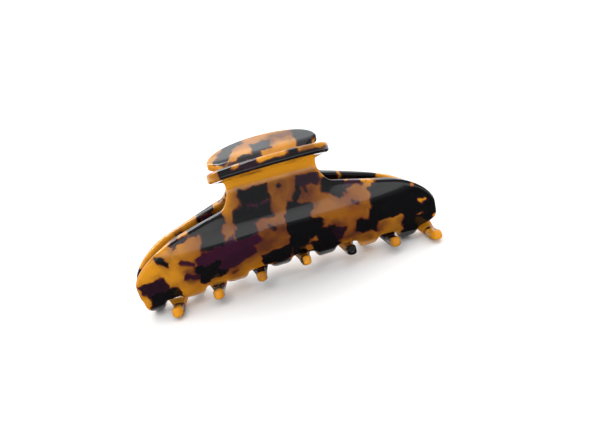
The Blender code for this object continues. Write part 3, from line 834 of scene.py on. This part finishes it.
# The sweep. It is matt white paper that lies level under the clip and curves up into a wall behind it, so
# that no seam is in view. The clip stands on it.
SWEEP_HALF_WIDTH = 2.5
SWEEP_FRONT = -1.6
SWEEP_BACK = 0.9
SWEEP_RADIUS = 0.6
SWEEP_TOP = 2.6
SWEEP_STEPS = 24
PAPER_DARK = (0.90, 0.90, 0.90, 1)
PAPER_LIGHT = (0.94, 0.94, 0.94, 1)
PAPER_WAVES = 900


def sweep_mesh():
    """The sweep: level, then a quarter circle, then upright, carried along x."""
    turn = np.linspace(0, math.pi / 2, SWEEP_STEPS)
    wall = SWEEP_BACK + SWEEP_RADIUS
    y = np.concatenate(([SWEEP_FRONT], SWEEP_BACK + SWEEP_RADIUS * np.sin(turn), [wall]))
    z = np.concatenate(([0.0], SWEEP_RADIUS * (1 - np.cos(turn)), [SWEEP_TOP]))
    x = np.array((-SWEEP_HALF_WIDTH, SWEEP_HALF_WIDTH))
    corners = np.stack(np.broadcast_arrays(x[None, :], y[:, None], z[:, None]), axis=-1).reshape(-1, 3)
    row = np.arange(len(y) - 1) * 2
    faces = np.stack((row, row + 1, row + 3, row + 2), axis=-1)
    mesh = bpy.data.meshes.new("sweep")
    mesh.from_pydata(corners.tolist(), [], faces.tolist())
    mesh.shade_smooth()
    return mesh


def pale_paper(name):
    """Matt white paper with a faint fibre."""
    material, shader, place = new_finish(name)
    fibre = place.noise(PAPER_WAVES, CLOSE_DETAIL)
    feed(shader, "Base Color", fibre.blend(PAPER_DARK, PAPER_LIGHT))
    shader.inputs["Roughness"].default_value = 0.9
    shader.inputs["Specular IOR Level"].default_value = 0.1
    return material


sweep = add("sweep", sweep_mesh())
sweep.data.materials.append(pale_paper("pale paper"))


# The lamps. A dim panel stands close to each jaw and gives the band of haze on its dome. The others light
# the clip from above and behind. All are softboxes in metres and watts.
PANEL_LOW = Vector((0.0, -0.050, 0.002))
PANEL_HIGH = Vector((0.0, -0.130, 0.150))
PANEL_WIDTH = 0.60
PANEL_WATTS = 0.055
WHITE = (1.0, 1.0, 1.0)
COOL_WHITE = (0.86, 0.95, 1.0)
LAMPS = (
    # name, place, aim, width, height, watts, colour, lights the matt, seen in the gloss
    ("top softbox", (0.05, 0.05, 0.60), (0.0, 0.0, 0.0), 0.8, 0.6, 1.2, WHITE, True, True),
    ("tab softbox", (0.0, 0.24, 0.36), (0.0, 0.0, 0.045), 0.7, 0.34, 0.60, COOL_WHITE, True, True),
    ("rim strip", (-0.22, 0.11, 0.37), (-0.03, 0.0, 0.03), 0.14, 0.46, 2.4, WHITE, False, True),
    ("wall wash", (0.0, 0.30, 1.5), (0.0, 1.5, 0.5), 2.4, 0.6, 6.0, WHITE, True, False),
    ("key strip", (-0.20, -0.20, 0.40), (0.0, 0.0, 0.03), 0.12, 0.03, 0.20, WHITE, True, True),
)


def soft_light(name, place, aim, width, height, watts, colour, matt=True, gloss=True):
    """A rectangular softbox at a place, facing an aim."""
    light = bpy.data.lights.new(name, "AREA")
    light.shape = "RECTANGLE"
    light.size = width
    light.size_y = height
    light.energy = watts
    light.color = colour
    lamp = add(name, light)
    lamp.location = place
    lamp.rotation_euler = (Vector(aim) - Vector(place)).to_track_quat("-Z", "Y").to_euler()
    lamp.visible_camera = False
    lamp.visible_diffuse = matt
    lamp.visible_glossy = gloss


def soft_panel(name, turn):
    """A dim panel close to one side: a rectangle from its low edge to its high edge, facing the clip."""
    low = turn @ PANEL_LOW
    high = turn @ PANEL_HIGH
    facing = (high - low).cross(turn @ Vector((1.0, 0.0, 0.0)))
    middle = (low + high) / 2
    if facing.dot(middle) > 0:
        facing = -facing
    soft_light(name, middle, middle + facing, PANEL_WIDTH, (high - low).length, PANEL_WATTS, COOL_WHITE)


soft_panel("front panel", Matrix.Identity(3))
soft_panel("back panel", Matrix.Rotation(math.pi, 3, "Z"))
for lamp_row in LAMPS:
    soft_light(*lamp_row)


# The dark cards. One lies on the floor in front of each jaw, so that the lower half of its dome stays deep.
# Only the gloss sees them.
CARD_DEPTH = 0.064
CARD_WIDTH = 0.24
CARD_START = 0.004
CARD_HEIGHT = 0.0003
CARD_BLACK = (0.02, 0.02, 0.02, 1)
CARD_GREY = (0.03, 0.03, 0.03, 1)
CARD_WAVES = 900


def dark_card(name, sense):
    """A level rectangle in front of one jaw, on the side that the sense gives, facing up."""
    near = CARD_START * sense
    far = (CARD_START + CARD_DEPTH) * sense
    half = CARD_WIDTH / 2
    plan = ((-half, near), (half, near), (half, far), (-half, far))
    corners = [(x, y, CARD_HEIGHT) for x, y in plan]
    mesh = bpy.data.meshes.new(name)
    mesh.from_pydata(corners, [], ((0, 1, 2, 3) if sense > 0 else (3, 2, 1, 0),))
    card = add(name, mesh)
    material, shader, place = new_finish(name)
    feed(shader, "Base Color", place.noise(CARD_WAVES).blend(CARD_BLACK, CARD_GREY))
    mesh.materials.append(material)
    card.visible_camera = False
    card.visible_diffuse = False
    card.visible_shadow = False


dark_card("front card", -1)
dark_card("back card", 1)


# The white room round it all. It is full white where it is seen and where it lights, and dim in the gloss,
# so that the black chunks stay black.
ROOM_IN_GLOSS = 0.2
world = bpy.data.worlds.new("studio")
world.use_nodes = True
room = world.node_tree
gloss_ray = Wire(room, room.nodes.new("ShaderNodeLightPath").outputs["Is Glossy Ray"])
room.nodes["Background"].inputs["Color"].default_value = WHITE + (1,)
room.links.new((1 - (1 - ROOM_IN_GLOSS) * gloss_ray).socket, room.nodes["Background"].inputs["Strength"])
bpy.context.scene.world = world
bpy.context.scene.view_settings.view_transform = "Standard"


# The camera. It stands at the photo's angle: a little left of the front, above it, and rolled.
CAMERA_AZIMUTH = math.radians(-5.16)
CAMERA_ELEVATION = math.radians(19.69)
CAMERA_ROLL = math.radians(14.45)
CAMERA_DISTANCE = 171.2 * MM
CAMERA_TARGET = Vector((6.65, 0.0, 21.22)) * MM
CAMERA_LENS = 29.93
IMAGE_WIDTH = 600
IMAGE_HEIGHT = 425
TARGET_PIXEL_Y = 212.0

toward_camera = Vector((
    math.sin(CAMERA_AZIMUTH) * math.cos(CAMERA_ELEVATION),
    -math.cos(CAMERA_AZIMUTH) * math.cos(CAMERA_ELEVATION),
    math.sin(CAMERA_ELEVATION),
))
level_right = Vector((math.cos(CAMERA_AZIMUTH), math.sin(CAMERA_AZIMUTH), 0.0))
level_up = toward_camera.cross(level_right)
right = level_right * math.cos(CAMERA_ROLL) - level_up * math.sin(CAMERA_ROLL)
up = level_right * math.sin(CAMERA_ROLL) + level_up * math.cos(CAMERA_ROLL)
camera = add("camera", bpy.data.cameras.new("camera"))
camera.data.lens = CAMERA_LENS
camera.data.clip_start = 0.01
camera.data.shift_y = (TARGET_PIXEL_Y - IMAGE_HEIGHT / 2) / IMAGE_WIDTH
turned = Matrix((right, up, toward_camera)).transposed().to_4x4()
camera.matrix_world = Matrix.Translation(CAMERA_TARGET + toward_camera * CAMERA_DISTANCE) @ turned
bpy.context.scene.camera = camera
